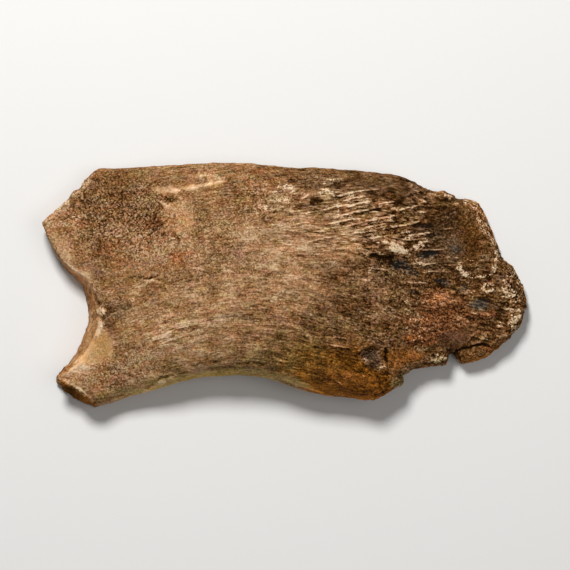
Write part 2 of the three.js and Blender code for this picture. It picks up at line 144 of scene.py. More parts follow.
# The areas of the bone that differ from the rest of it.
REGIONS = {
    "dark outer half": oval(56.1, -2, 45, 46, tone=-0.19, fibrous=0.25, grainy=0.24, chalk=0.12, ash=0.1),
    "grey middle": oval(1.6, 3.7, 46, 30, ash=0.33),
    "bright middle": oval(-4.7, 6.6, 20, 16, tone=0.04),
    "pinkish middle": oval(9.6, 6.6, 14, 9, -8, mauve=0.3, rust=0.15),
    "dark middle": oval(14.5, -7.7, 13, 14, tone=-0.1),
    "pitted middle": oval(-24.2, 12.9, 24, 16, pitted=0.3, fibrous=-0.2, grainy=0.15),
    "light lower middle": oval(-27.7, -12.9, 18, 13, tone=0.09),
    "olive of the lower half": oval(-25.7, -19.2, 34, 10, moss=0.25),
    "warm left end": oval(-49.5, 14.3, 24, 15, rust=0.3),
    "grainy left end": oval(-51.5, 16.4, 28, 17, -6, fibrous=-0.4, grainy=0.15),
    "pitted shoulder": oval(-47.2, 20.1, 22, 15, -6, pitted=0.9, tone=-0.05, fibrous=-0.5, grainy=0.25),
    "dark heart of the shoulder": oval(-39.7, 19.8, 9, 6, -25, tone=-0.03),
    "warm edge of the shoulder": oval(-35.7, 15.2, 6, 5, rust=0.4, ochre=0.2),
    "light below the shoulder": oval(-38.6, 12.3, 18, 6, -5, tone=0.13, rust=0.05),
    "brown corner": oval(-46.6, 31.8, 12, 4, 3, tone=-0.06, rust=0.15),
    "dark band": oval(-40.9, 1.7, 8, 2.4, tone=-0.13),
    "warm belt": oval(-38.6, 8.3, 20, 8, rust=0.15),
    "orange upper prong": oval(-63.3, 19.8, 6.5, 6, rust=0.3, tone=0.17, ochre=0.2),
    "brown of the upper prong": oval(-50.6, 13.5, 7, 8, tone=-0.05),
    "shaded upper break": oval(-59.8, 24.4, 11, 4, 48, tone=-0.07),
    "pale margin of the upper prong": oval(
        -62.1, 7.2, 11, 2.5, -54, tone=0.14, fibrous=-0.2, ash=0.4, grainy=-0.2
    ),
    "mauve of the margin": oval(-62.1, 10.6, 3.4, 2, -54, mauve=0.5),
    "dark above the notch": oval(-54.1, 6.6, 5, 8, -30, tone=-0.05),
    "mauve above the notch": oval(-55.8, 4.3, 4, 2.6, -30, mauve=0.6),
    "light wall of the notch": oval(-58.1, 0.6, 5, 2.4, -48, tone=0.16, chalk=0.1),
    "light wall by the lump": oval(-53.8, -10, 1.6, 3, tone=0.12),
    "grey behind the notch": oval(-49.2, -7.7, 5, 5.5, -40, tone=-0.1, ash=0.45, pitted=0.4),
    "dark foot of the grey": oval(-50.3, -12.9, 3.4, 3, tone=-0.08, ash=0.3),
    "pale patch": oval(-30.3, 19.5, 5, 6, tone=0.17, pitted=-0.6, grainy=-0.2, rust=0.25, ochre=0.2),
    "dark left of the pale patch": oval(-36.3, 15.8, 5, 3, tone=-0.1),
    "orange spot": oval(-29.7, 7.5, 5, 2.4, rust=0.8, tone=0.02, ochre=0.2),
    "lower prong": oval(-46, -24.4, 14, 8, 20, pitted=0.6, rust=0.3, tone=0.05, grainy=0.3, fibrous=-0.4),
    "light lower prong": oval(-39.7, -29, 10, 4, 12, tone=0.13),
    "light foot of the prong": oval(-40.9, -21.5, 8, 5, 20, tone=0.06),
    "end of the lower prong": oval(-61, -26.1, 6, 4, tone=0.16),
    "dark blotch": oval(-34, -24.4, 5.5, 2.2, 10, tone=-0.14, moss=0.3),
    "yellow lower rim of the prong": oval(-39.7, -29.5, 24, 3.6, 12, ochre=0.4, moss=0.6, tone=0.02),
    "worn patch": oval(-53.2, -18.6, 6.4, 4, 50, amber=0.9, moss=0.15, tone=0.17, fibrous=-0.4, grainy=-0.2),
    "pale end of the worn patch": oval(-57.5, -23.2, 4, 2.6, 45, tone=0.22, amber=0.2, chalk=0.1),
    "rust above the worn patch": oval(-52.6, -16.4, 2.6, 1.6, 30, rust=0.5, ochre=0.5, tone=-0.06),
    # Partly the break's own olive-brown, partly painted shade on a face turned from the light
    "dark of the tip break": oval(
        -61.8, -30.4, 4.4, 2.8, -38, ochre=1.5, tone=-0.22, fibrous=-0.4, spongy=-0.6
    ),
    # Painted shadow under the overhanging top edge of the tip break
    "painted shadow under the tip's top edge": oval(-61.8, -29, 2.6, 1.8, -35, tone=-0.16),
    "orange of the tip break": oval(
        -56.9, -32.7, 4, 2.4, -30, ochre=0.6, rust=0.7, tone=-0.04, fibrous=-0.4, spongy=-0.6
    ),
    "light belt": oval(3.9, 12.9, 24, 8, tone=0.08),
    "light of the middle": oval(2.2, -4.3, 9, 10, tone=0.05),
    "pale middle spot": oval(2.2, 4, 3.6, 3, 20, tone=0.13, amber=0.3),
    "orange tan of the middle": oval(-11.3, -2, 8, 8, rust=0.25),
    "mauve of the upper middle": oval(-13.3, 9.5, 4, 2.6, mauve=0.6, rust=0.2),
    "grainy upper middle": oval(-5.9, 25.2, 11, 8, grainy=0.3, chalk=0.08),
    "olive of the dark middle": oval(10.2, -12.3, 14, 7, moss=0.35),
    "reddish edge of the middle": oval(16.5, 0, 8, 5, rust=0.15),
    "fine lines": oval(-31.1, -13.5, 10, 4, 14, fibrous=0.4, tone=0.04, chalk=0.05),
    "lower edge of the middle": oval(-1.9, -25, 32, 9, tone=-0.05, moss=0.3, ochre=0.1, fibrous=-0.15),
    "light foot of the middle": oval(-22.8, -20.9, 20, 5, 4, tone=0.06),
    "yellow lower rim of the middle": oval(-17.9, -26.1, 18, 3.2, 2, ochre=0.5, moss=0.45),
    "upper edge": oval(-17.1, 32.4, 24, 4, rust=0.25, moss=0.2),
    "orange upper margin": oval(-6.5, 31.3, 9, 5, rust=0.35, ochre=0.2),
    "dark upper margin": oval(10.2, 31, 21, 6, -4, tone=-0.13, moss=0.15),
    "dark right of the upper margin": oval(
        27.4, 28.4, 11, 5, -12, tone=-0.14, moss=0.1, grainy=-0.25, fibrous=-0.35, chalk=-0.12
    ),
    "grey upper margin": oval(19.4, 29.3, 24, 6, 3, ash=0.35),
    "fan": oval(24, 20.1, 30, 15, 8, fibrous=0.5, tone=-0.01, chalk=0.2, grainy=-0.1),
    "light below the fan": oval(17.9, 12, 7, 3.6, 8, tone=0.11),
    "grey corner of the fan": oval(37.4, 25, 7, 5, -15, ash=0.4),
    "dark by the corner": oval(38.3, 21.5, 16, 9, tone=-0.09, grainy=-0.2),
    "lower fan": oval(11.9, -20.1, 26, 14, -18, fibrous=0.15, tone=-0.06, ochre=0.3),
    "dark lower fan": oval(13.1, -20.9, 9, 5, tone=-0.05),
    "olive lower fan": oval(3, -20.1, 14, 7, -10, moss=0.35),
    "yellow of the lower fan": oval(7.9, -22.7, 13, 7, -15, ochre=0.65),
    "light foot of the lower fan": oval(7.9, -28.4, 8, 3, -20, tone=0.11),
    "grainy gash": oval(31.7, 6.6, 9, 5, grainy=0.3, chalk=0.1),
    "blue of the gash": oval(33.1, 5.7, 4.8, 2, -25, slate=0.8, tone=-0.12, chalk=-0.35),
    "blue of its end": oval(41.2, 9.2, 3.8, 1.8, 6, slate=1.0, tone=-0.2, chalk=-0.4),
    "smooth outer plate": oval(
        51.5, 12.9, 9.5, 12, -14, tone=-0.06, fibrous=-0.6, chalk=-0.05, ochre=0.5, grainy=-0.15
    ),
    "dark left of the plate": oval(43.5, 19.2, 8, 5, -10, tone=-0.06, fibrous=-0.4, chalk=-0.1),
    "grey by the plate": oval(45.2, 12.9, 9, 12, ash=0.45, ochre=-0.2),
    "blue spot a": oval(45.2, 1.4, 3, 2, slate=0.8, tone=-0.17, rust=-0.3, chalk=-0.3),
    "blue spot b": oval(56.1, -5.5, 4.6, 3, slate=0.75, tone=-0.13, rust=-0.6, chalk=-0.3, grainy=-0.2),
    "blue spot c": oval(36.3, 2.9, 2.6, 1.3, slate=0.7, tone=-0.15, chalk=-0.3),
    "blue spot d": oval(51.5, -0.9, 2.4, 1.5, slate=0.5, tone=-0.08),
    "blue spot e": oval(48.3, 10.6, 2.4, 2.2, slate=0.6, tone=-0.06),
    "blue spot f": oval(61.3, 2.6, 1.8, 1.6, slate=0.8, tone=-0.1, chalk=-0.2),
    "blue spot g": oval(36.3, -2.3, 2.2, 1.6, slate=0.5, tone=-0.1),
    "blue spot h": oval(39.7, 16.6, 3.6, 1.4, 6, slate=0.6, tone=-0.1, chalk=-0.2),
    "rust field": oval(43.5, -9.5, 12, 9, 10, rust=1.0, tone=0.06, grainy=0.2),
    "red heart of the rust": oval(43.8, -9.5, 4, 4, rust=0.8),
    "light above the streaks": oval(44.6, -3.7, 9, 3.4, rust=0.35, tone=0.05),
    "orange below the rust": oval(37.2, -15.2, 6, 3, rust=0.8, ochre=0.3, tone=-0.03),
    "orange glow of the rust a": oval(42.9, -4.9, 3, 1.4, ochre=0.6, rust=0.4, tone=0.02),
    "orange glow of the rust b": oval(34.9, -14.6, 3.4, 1.8, ochre=0.4, rust=0.6, tone=0.02),
    "orange glow of the rust c": oval(41.2, -17.2, 3, 1.6, ochre=0.4, rust=0.6),
    "red spot of the rust a": oval(42.6, -8, 3, 1.8, rust=0.7, ochre=0.2),
    "red spot of the rust b": oval(57.8, -8.3, 3.4, 1.6, rust=0.6, tone=0.02),
    "mauve plain": oval(
        48.1, -15.2, 7, 5, mauve=0.8, rust=-0.3, fibrous=-0.6, grainy=-0.4, chalk=-0.3, tone=-0.1
    ),
    "warm right end": oval(58.4, -11.5, 9, 11, rust=0.45, ochre=0.15),
    "speckled rim": oval(65.6, -0.9, 3.2, 8, 8, chalk=0.25, tone=0.04, fibrous=-0.3, grainy=0.8),
    "dark behind the rim specks": oval(62.7, -5.5, 3, 5, 10, tone=-0.07),
    "crusty rim": oval(65.6, -11.2, 3.8, 3, 30, chalk=0.3, tone=0.06, fibrous=-0.3, grainy=0.6),
    "flap by the crack": oval(55.5, -19.8, 7, 4, 12, ochre=0.5, rust=0.3, tone=0.11, fibrous=-0.6),
    "dark above the lump": oval(44.6, -18.4, 5, 4, tone=-0.07),
    "orange flake": oval(
        34.6, -20.4, 9, 3.6, -4, rust=0.6, ochre=0.8, tone=0.12, fibrous=-0.5, chalk=-0.2, grainy=0.1
    ),
    "orange lobe": oval(20.5, -29, 17, 7, -10, ochre=1.1, rust=0.55, tone=-0.04, chalk=-0.05),
    "ochre field": oval(19.4, -23.2, 16, 9, ochre=0.6),
    "green tip": oval(33.1, -27, 3.4, 2.8, moss=1.1, ash=0.2, ochre=-1.4, rust=-0.5),
    # A grey stain in the hollow, darkened as painted shadow of the higher bone to its left
    "grey hollow": oval(25.7, -20.7, 3.8, 3.6, 15, ash=0.5, ochre=-0.8, tone=-0.06, slate=0.4),
}

# Marks drawn along a path, by their finish: half the width of each, and its path.
MARKS = {
    "bared bone": [
        # the long scar, its middle and its tail
        (1.1, (-37.7, 27.3), (-34.3, 27), (-30, 27.5)),
        (0.6, (-32.3, 27.3), (-27.1, 27.8), (-20.8, 29)),
        (0.55, (-22.8, 28.7), (-19.1, 29.3), (-16.2, 29.8)),
    ],
    "worn bone": [
        # the upper scar
        (1.5, (-25.4, 31.8), (-21.4, 31.3), (-17.4, 30.7)),
    ],
    "pale line": [
        # below the scar
        (0.35, (-36.6, 24.4), (-32.8, 22.1)),
        # beside the cracks
        (0.35, (-41.5, 1.4), (-38.9, 1.1), (-35.7, 1.4)),
        # the next one is a painted highlight on the upper lip of the crack at the corner
        (0.4, (52.6, -17.2), (56.1, -16.1), (57.8, -14.1)),
        # on the belt
        (0.3, (-28, 4.6), (-25.4, 4.9), (-23.1, 4.3)),
    ],
    "crack": [
        # the hairline crack
        (0.2, (-42.3, 2.3), (-39.7, 1.7), (-36.3, 2.6)),
        # the gash
        (0.5, (24, 8.6), (26.3, 8.3), (28.5, 7.7), (30.8, 7.7)),
        # the step of the flake
        (0.45, (28.8, -17.8), (28.8, -19.8), (29.1, -22.1)),
        # the crack at the corner
        (0.35, (48.3, -19.8), (50.3, -18.4), (53.8, -17.8)),
        (0.3, (53.2, -17.8), (56.9, -16.9), (59.5, -18.1)),
    ],
    # Small hollows darkened with painted shade
    "dent with painted shade": [
        # below the scar and in the pale patch
        (1, (-34.6, 24.7), (-32.8, 24.4), (-31.1, 24.7)),
        (0.4, (-32, 15.2), (-31.1, 14.1), (-30, 12.6)),
        # along the lower rim
        (0.5, (-39.7, -29.5), (-38.6, -29), (-37.4, -28.4)),
        (0.5, (-36.3, -27.5), (-34.9, -26.7), (-33.4, -26.1)),
        # below the gash and at its end
        (0.7, (30.3, 6.9), (32.6, 5.7), (34.9, 4.6)),
        (0.7, (39.2, 8.6), (42.9, 9.5)),
        # in the ragged rim and behind it
        (0.5, (64.1, -0.9), (65.3, 0.3)),
        (0.6, (61.3, -6.6), (63, -8)),
    ],
    "dark stain and painted shade": [
        # short cracks in the middle
        (0.3, (-23.1, -1.7), (-21.1, -2.6), (-18.8, -2.3)),
        # spots in the margin and on the middle
        (1, (0.7, 30.1), (3.6, 30.7)),
        (1, (-6.7, 17.5), (-5, 18.1)),
        # the heart of the pit, painted shade
        (0.7, (8.2, 23.5), (9.6, 23.8)),
        # below the gash, painted shadow of the chip above it
        (1.3, (26.3, 7.2), (29.1, 6.6), (31.4, 6)),
        # the deeps of the hollow by the lobe, painted shadow of the higher bone to its left
        (1, (23.1, -18.6), (24.8, -17.8), (26.8, -18.4)),
        (1, (24.5, -23), (26.3, -21.8), (28.5, -21.2)),
    ],
    "shallow hollow": [
        # the pit in the fan, darkened with painted shade
        (1.2, (7.6, 23.5), (10.5, 24.1)),
    ],
    "groove with painted shade": [
        # three grooves above the lower rim, darkened with painted shade
        (0.3, (-22.8, -24.1), (-17.1, -23.5), (-11.3, -23.8)),
        (0.35, (-26.5, -23.2), (-22.5, -22.1), (-17.9, -21.8)),
        (0.25, (-13.9, -22.4), (-9.3, -22.4), (-4.7, -23)),
    ],
    "hollow": [
        # in the crust on the notch and above it; these holes are darkened with painted shade
        (0.3, (-52.3, -7.6), (-52.1, -8.3)),
        (0.4, (-53.6, -5.5), (-52.9, -4.9)),
        # in the lump by the crack, darkened with painted shade
        (0.4, (42.3, -20.1), (42.9, -20.4)),
        (0.35, (44.9, -21.8), (45.2, -22.1)),
    ],
    "pale rim": [
        # the upper break
        (1, (-69, 18.1), (-63.8, 23), (-58.7, 27.8), (-54.9, 32.1)),
    ],
    "notch lip": [
        # the notch, the lower prong and the break of its tip
        (0.5, (-62.4, 6.3), (-59.2, 3.3), (-56.7, 1.1), (-54.8, -1.1), (-53.6, -3.4), (-53.2, -5.2)),
        (0.5, (-54.4, -14.9), (-55.5, -17.5), (-57.7, -20.4), (-60.2, -23.2), (-62.4, -25.5)),
        (0.35, (-65, -26.7), (-62.7, -27.5), (-59.2, -29.5), (-55.5, -32.4)),
    ],
    "crust": [
        # along the notch
        (1.1, (-53.2, -9.2), (-52.9, -11.2), (-53.8, -14.1)),
        # the outer foot of the plate
        (0.6, (59.8, 3.2), (60.4, 6), (60.7, 8.3)),
        (0.45, (60.7, 8), (60.4, 10)),
    ],
    "crust lump": [
        # on the notch, and below it
        (1.4, (-52.8, -6.5), (-52.6, -7.5), (-52.5, -8.6)),
        (0.7, (-52.6, -10), (-52.6, -12), (-53.8, -14.1), (-54.4, -15.2)),
    ],
    "grey lump": [
        # by the crack at the corner
        (1.4, (42.3, -21.5), (45.8, -20.9)),
    ],
    "white crust": [
        # bits on the lower rim
        (0.45, (-40.3, -30.7), (-39.2, -30.1)),
        (0.6, (-38.6, -29.8), (-37.7, -29.5), (-36.9, -29)),
        (0.7, (-36.3, -28.7), (-35.4, -27.8), (-34.3, -27.7)),
        (0.5, (-33.4, -27.3), (-32.3, -26.4), (-30.8, -25.8)),
    ],
    "olive rim": [
        # the lower rim
        (1.3, (-44.3, -31), (-34.3, -29), (-24.2, -26.4), (-12.8, -25.2), (-1.3, -26.1), (7.9, -29.3)),
    ],
    "orange crust": [
        # the outer, inner and upper rim of the plate
        (1.2, (61.5, 8.3), (59.5, 13.5), (58.1, 16.9), (56.9, 20.9)),
        (0.7, (57.5, 14.1), (56.1, 17.2), (55.2, 20.4)),
        (1.4, (56.4, 20.7), (54.7, 23), (51.2, 24.1)),
        # at the corner
        (0.8, (45.8, 26.1), (48.1, 25.2)),
    ],
    "orange core": [
        # in the oval chip
        (0.4, (57.5, -0.9), (59.2, -0.6)),
    ],
    "rust streak": [
        # in the rust field and below it
        (0.7, (40.6, -4.9), (43.5, -4.3), (45.8, -3.4)),
        (0.5, (43.5, -3.2), (46.3, -2.6), (49.2, -2)),
        (0.4, (44.6, -5.5), (47.5, -4.9)),
        (0.6, (33.7, -10.6), (37.4, -10.3), (41.2, -9.8)),
        (0.5, (34.6, -14.9), (37.2, -15.2), (39.7, -14.3)),
        # on the lobe
        (0.7, (16.2, -25.8), (18.8, -25.8)),
    ],
    "white chip": [
        # patches of the fan
        (0.8, (-1.9, 27.8), (0.4, 28.1), (3, 26.7)),
        (0.65, (9.6, 26.1), (11.9, 27), (14.2, 25.8)),
        # the big chip, its heart and the second chip
        (1, (30, 10.6), (32, 10.3), (33.7, 9.9), (35.1, 9.8)),
        (0.6, (31.7, 10), (34, 9.6)),
        (0.85, (36.6, 11), (38.3, 11.2), (40, 11.5)),
        # the foot of the plate
        (0.8, (50.1, 6.9), (49.9, 5.2), (49.6, 3.7)),
        (0.9, (50.1, 4.3), (51.5, 2.9), (53.8, 1.7)),
        (0.4, (53.2, 2), (55.5, 2.2), (58.4, 2.6), (60.4, 4)),
        # the two sides of the oval chip
        (0.42, (56.1, -0.6), (57.8, 0.1), (60.1, 0.1)),
        (0.42, (56.4, -1.1), (58.1, -2), (60, -1.1)),
        # specks of the ragged rim
        (0.7, (63.3, -11.5), (65.6, -10.3), (67.6, -8.6)),
        (0.5, (60.1, -12), (63, -11.2)),
        # in the hollow by the lobe
        (0.4, (26, -24.1), (27.7, -23.5), (29.1, -23.2)),
    ],
    "chip": [
        # by the worn patch
        (1, (-58.7, -22.1), (-57.2, -23.8)),
        # patches of the fan
        (0.5, (-3, 23.8), (-0.7, 24.4), (1.9, 25)),
        (0.7, (10.5, 29), (13.6, 29.8), (16.8, 30.4)),
        (0.5, (18.8, 25.5), (20.5, 25.8)),
        (0.6, (-7.6, 22.4), (-6.2, 21.8), (-4.7, 22.4)),
        # a line across the fan, and its specks
        (0.35, (14.8, 24.4), (15.1, 22.1), (15.3, 19.5)),
        (0.4, (29.7, 18.4), (31.1, 18.9)),
        (0.4, (34.6, 15.2), (36, 15.5)),
        (0.4, (23.1, 23.5), (24.5, 23.8)),
        # round the big chip
        (0.4, (30.3, 11.8), (32.3, 11.2)),
        (0.6, (34.3, 13.5), (36.6, 13.8)),
        (0.35, (25.1, 11.8), (27.4, 12.3), (29.7, 12.6)),
        # on the plate
        (0.5, (54.7, 6), (55.5, 4.9)),
        (0.35, (51.8, 19.2), (52.4, 19.2)),
        # specks of the ragged rim
        (0.4, (62.4, 2), (64.1, 0), (65.8, -1.4)),
        (0.4, (63.8, -2), (65.6, -3.2), (65.8, -5.5)),
        (0.4, (62.1, -0.3), (63.3, -2.6), (63.3, -4.9)),
        (0.4, (64.1, -5.7), (65.3, -7.5), (65, -9.5)),
        # by the hollow and on the lobe
        (0.6, (21.1, -20.9), (22.5, -21.5), (24, -22.1)),
        (0.5, (12.5, -26.1), (14.8, -27.3), (16.2, -28.4)),
        (0.25, (19.4, -27.8), (21.1, -29)),
        (0.4, (21.7, -25.5), (22.8, -26.4)),
        # above the grey lump
        (0.3, (35.7, -18.1), (41.2, -18.1)),
    ],
}

# Ledges between split layers of bone: how strong each is, and its path from left to right.
LEDGES = [
    (0.7, (4.2, 24.4), (5.6, 25), (7, 25.8)),
    (0.6, (16.2, 23.8), (18.8, 24.7), (21.4, 25.2)),
    (1, (17.1, 22.4), (20.8, 23.2), (24.8, 24.1)),
    (0.8, (10.8, 21.5), (14.5, 22.4), (18.8, 23.2)),
    (0.8, (14.8, 19.5), (18.2, 20.4), (22.2, 21.5)),
    (1, (22.5, 18.1), (26.8, 18.9), (32, 20.1)),
    (0.9, (29.1, 16.4), (34, 17.2), (39.4, 18.4)),
    (0.6, (18.8, 14.6), (22.8, 15.2), (26.8, 15.8)),
    (0.4, (5, 12), (10.2, 13.2), (15.9, 14.3)),
    (0.3, (-7.3, 20.7), (-4.7, 21.2), (-1.9, 21.8)),
    (0.4, (-2.4, 22.1), (1, 23)),
    (0.4, (5, 20.4), (9.6, 21.2), (14.2, 22.1)),
    (0.5, (10.2, 16.9), (15.3, 18.1), (20.5, 19.2)),
    (0.6, (31.4, 21.2), (35.4, 22.1), (38.9, 23)),
    (0.8, (34.6, 14.1), (38.3, 14.6), (42.9, 15.2)),
    (0.4, (43.8, 15.8), (46, 16.1), (48.3, 16.4)),
    (0.6, (20.2, 26.7), (24, 27.3), (27.4, 27.5)),
    (0.3, (1, 16.9), (5, 17.8), (9.6, 18.6)),
    (0.3, (7.9, 15.2), (11.9, 16.1), (16.5, 16.9)),
    (0.6, (23.4, 13.2), (27.4, 13.8), (30.8, 14.3)),
    (0.7, (26.8, 15.8), (30.8, 16.6), (34.9, 17.5)),
    (0.6, (36, 6.3), (40, 6), (44.6, 6.3)),
    (0.5, (38.9, 3.7), (42.3, 4), (46.3, 3.7)),
    (0.6, (12.5, -16.9), (15.9, -17.5), (19.4, -18.1)),
    (0.6, (4.4, -28.7), (7.9, -29.8), (11.3, -31)),
    (0.7, (21.7, 16.1), (25.7, 16.9), (29.7, 17.8)),
    (0.6, (14.8, 25.5), (17.6, 26.1), (20.5, 26.4)),
    (0.5, (25.1, 22.7), (28.5, 23.5), (32, 24.1)),
    (0.6, (19.4, 20.7), (23.4, 21.5), (27.4, 22.4)),
    (0.5, (31.4, 13.5), (34.9, 12.9), (38.9, 13.2)),
    (0.5, (17.4, 16.9), (20.5, 17.5), (24, 18.4)),
    (0.5, (37.4, 9.8), (41.7, 10), (46.3, 10.3)),
    (0.5, (32.6, 1.1), (37.2, 0.6), (41.7, 0.9)),
    (0.5, (22.2, 5.2), (26.3, 4.6), (30.3, 4.3)),
    (0.2, (-0.4, 15.2), (3.3, 15.8), (6.7, 16.4)),
    (0.4, (44.6, 6), (47.5, 5.7), (50.3, 6)),
    (0.3, (-38, -15.8), (-34.6, -14.6), (-31.1, -13.8)),
    (0.5, (-33.7, -13.5), (-28.8, -11.8), (-24.2, -10.9)),
    (0.25, (-34.6, -16.1), (-31.7, -15.5), (-28.8, -14.6)),
    (0.25, (-31.1, -12.3), (-27.1, -10.6), (-23.1, -9.8)),
    (0.3, (52.1, -16.4), (53.5, -14.6), (55.2, -13.2)),
]


# ---- Small tools for arrays of points ----


def smooth(values, start, end):
    """0 before start, 1 after end, and eased between them."""
    share = np.clip((values - start) / (end - start), 0, 1)
    return share * share * (3 - 2 * share)


def curve(x, stations):
    """The height at x of a smooth curve through the stations."""
    xs, ys = np.array(stations, float).T
    slopes = np.gradient(ys, xs)
    i = np.clip(np.searchsorted(xs, x) - 1, 0, len(xs) - 2)
    step = xs[i + 1] - xs[i]
    u = np.clip((x - xs[i]) / step, 0, 1)
    start = (1 + 2 * u) * (1 - u) ** 2 * ys[i] + u * (1 - u) ** 2 * step * slopes[i]
    end = u * u * (3 - 2 * u) * ys[i + 1] + u * u * (u - 1) * step * slopes[i + 1]
    return start + end


def scatter(lattice, seed):
    """A number from 0 to 1 for each cell of a lattice. It looks random and is always the same."""
    i, j, k = lattice.astype(np.uint32).T
    mixed = i * np.uint32(374761393) + j * np.uint32(668265263) + k * np.uint32(2246822519)
    mixed = mixed + np.uint32((seed + 1) * 326648991 % 2**32)
    mixed = (mixed ^ (mixed >> np.uint32(13))) * np.uint32(1274126177)
    mixed = (mixed ^ (mixed >> np.uint32(15))) * np.uint32(2654435761)
    return (mixed ^ (mixed >> np.uint32(16))) / 2**32


def waves(points, seed):
    """Smooth noise, mostly from -1 to 1, with about one wave to a unit."""
    base = np.floor(points).astype(np.int64)
    inside = points - base
    ease = inside**3 * (inside * (inside * 6 - 15) + 10)
    total = np.zeros(len(points))
    for corner in np.ndindex(2, 2, 2):
        weight = np.prod(np.where(corner, ease, 1 - ease), axis=1)
        slope = np.stack([scatter(base + corner, 3 * seed + axis) for axis in range(3)], axis=1) * 2 - 1
        total += weight * np.sum(slope * (inside - corner), axis=1)
    return total * 1.9


def rough(points, seed, octaves=3):
    """Waves with finer waves on them."""
    return sum(waves(points * 2**n, 10 * seed + n) * 0.55**n for n in range(octaves))


def cells(points, seed):
    """Distance to the nearest of points scattered one to a unit cube, and a random number of that point."""
    base = np.floor(points).astype(np.int64)
    nearest = np.full(len(points), np.inf)
    chance = np.zeros(len(points))
    for step in np.ndindex(3, 3, 3):
        cell = base + step - 1
        spot = cell + np.stack([scatter(cell, 3 * seed + axis) for axis in range(3)], axis=1)
        distance = np.linalg.norm(points - spot, axis=1)
        closer = distance < nearest
        chance = np.where(closer, scatter(cell, 3 * seed + 7), chance)
        nearest = np.minimum(nearest, distance)
    return nearest, chance


def in_oval(x, y, centre, half, turn):
    """1 in the middle of an oval, easing to 0 at its rim."""
    angle = math.radians(turn)
    dx, dy = x - centre[0], y - centre[1]
    u = (dx * math.cos(angle) + dy * math.sin(angle)) / half[0]
    v = (dy * math.cos(angle) - dx * math.sin(angle)) / half[1]
    return 1 - smooth(np.hypot(u, v), 0.35, 1.15)


def beside_path(x, y, path):
    """Distance to a path, negative to the right of its run, and how far along it the nearest point is."""
    points = np.array(path, float)
    lengths = np.hypot(*np.diff(points, axis=0).T)
    offset = np.full(len(x), np.inf)
    place = np.zeros(len(x))
    for i, length in enumerate(lengths):
        (ax, ay), (bx, by) = points[i], points[i + 1]
        u = np.clip(((x - ax) * (bx - ax) + (y - ay) * (by - ay)) / length**2, 0, 1)
        distance = np.hypot(x - ax - u * (bx - ax), y - ay - u * (by - ay))
        side = np.where((bx - ax) * (y - ay) >= (by - ay) * (x - ax), 1, -1)
        closer = distance < np.abs(offset)
        place = np.where(closer, (lengths[:i].sum() + u * length) / lengths.sum(), place)
        offset = np.where(closer, side * distance, offset)
    return offset, place


def near_path(x, y, path, half_width, waver):
    """1 on a path, easing to 0 beside it, tapered to both ends. waver makes the sides uneven."""
    offset, place = beside_path(x, y, path)
    width = half_width * (1 - 0.7 * np.abs(2 * place - 1) ** 3)
    return 1 - smooth(np.abs(offset) / width + 0.65 * waver, 0.55, 1.3)


# ---- The rib's mesh ----


def finer_mesh(node, levels, sharp_angle, sharpness):
    """A copy of a node's mesh as an object, subdivided, with its sharper edges kept."""
    mesh = node.data.copy()
    sheet = bmesh.new()
    sheet.from_mesh(mesh)
    bmesh.ops.remove_doubles(sheet, verts=sheet.verts, dist=1e-6)
    crease = sheet.edges.layers.float.new("crease_edge")
    for edge in sheet.edges:
        turn = edge.calc_face_angle(0)
        edge[crease] = sharpness * min(1, max(0, turn / sharp_angle - 0.5))
    sheet.to_mesh(mesh)
    sheet.free()
    for layer in list(mesh.uv_layers):
        mesh.uv_layers.remove(layer)
    rib = bpy.data.objects.new("fossil_rib", mesh)
    bpy.context.scene.collection.objects.link(rib)
    subdivision = rib.modifiers.new("finer", "SUBSURF")
    subdivision.levels = levels
    subdivision.render_levels = levels
    bpy.context.view_layer.objects.active = rib
    bpy.ops.object.modifier_apply(modifier=subdivision.name)
    return rib


class Surface:
    """Where each vertex of a mesh lies, which way it faces and how the fibres run there. Millimetres."""

    def __init__(self, mesh):
        count = len(mesh.vertices)
        points = np.zeros(count * 3, np.float32)
        mesh.vertices.foreach_get("co", points)
        normals = np.zeros(count * 3, np.float32)
        mesh.vertices.foreach_get("normal", normals)
        self.points = points.reshape(-1, 3).astype(float) / MM
        self.normals = normals.reshape(-1, 3).astype(float)
        self.x, self.y, self.z = self.points.T
        low = curve(self.x, LOW_FIBRE)
        high = curve(self.x, HIGH_FIBRE)
        across = (self.y - low) / (high - low) * FIBRE_WIDTH
        self.grain = np.stack([self.x, across, self.z], axis=1)
        self.top = smooth(self.normals[:, 2], 0.25, 0.75)
        self.under = smooth(-self.normals[:, 2], 0.25, 0.75)
        self.wall = 1 - self.top - self.under

    def along_grain(self, length, width):
        """Places for noise whose waves are that long along the fibres, and that wide across them."""
        return self.grain / (length, width, width)


def stretch(x, start, full, fading, end):
    """1 between full and fading, easing to 0 at start and at end."""
    return smooth(x, start, full) * (1 - smooth(x, fading, end))


def broken_share(surface):
    """1 where the bone is broken across, and 0 on its two natural margins."""
    lower = stretch(surface.x, *LOWER_MARGIN) * (surface.y < LOWER_MARGIN_Y)
    upper = stretch(surface.x, *UPPER_MARGIN) * (surface.y > UPPER_MARGIN_Y)
    return 1 - np.clip(lower + upper, 0, 1)


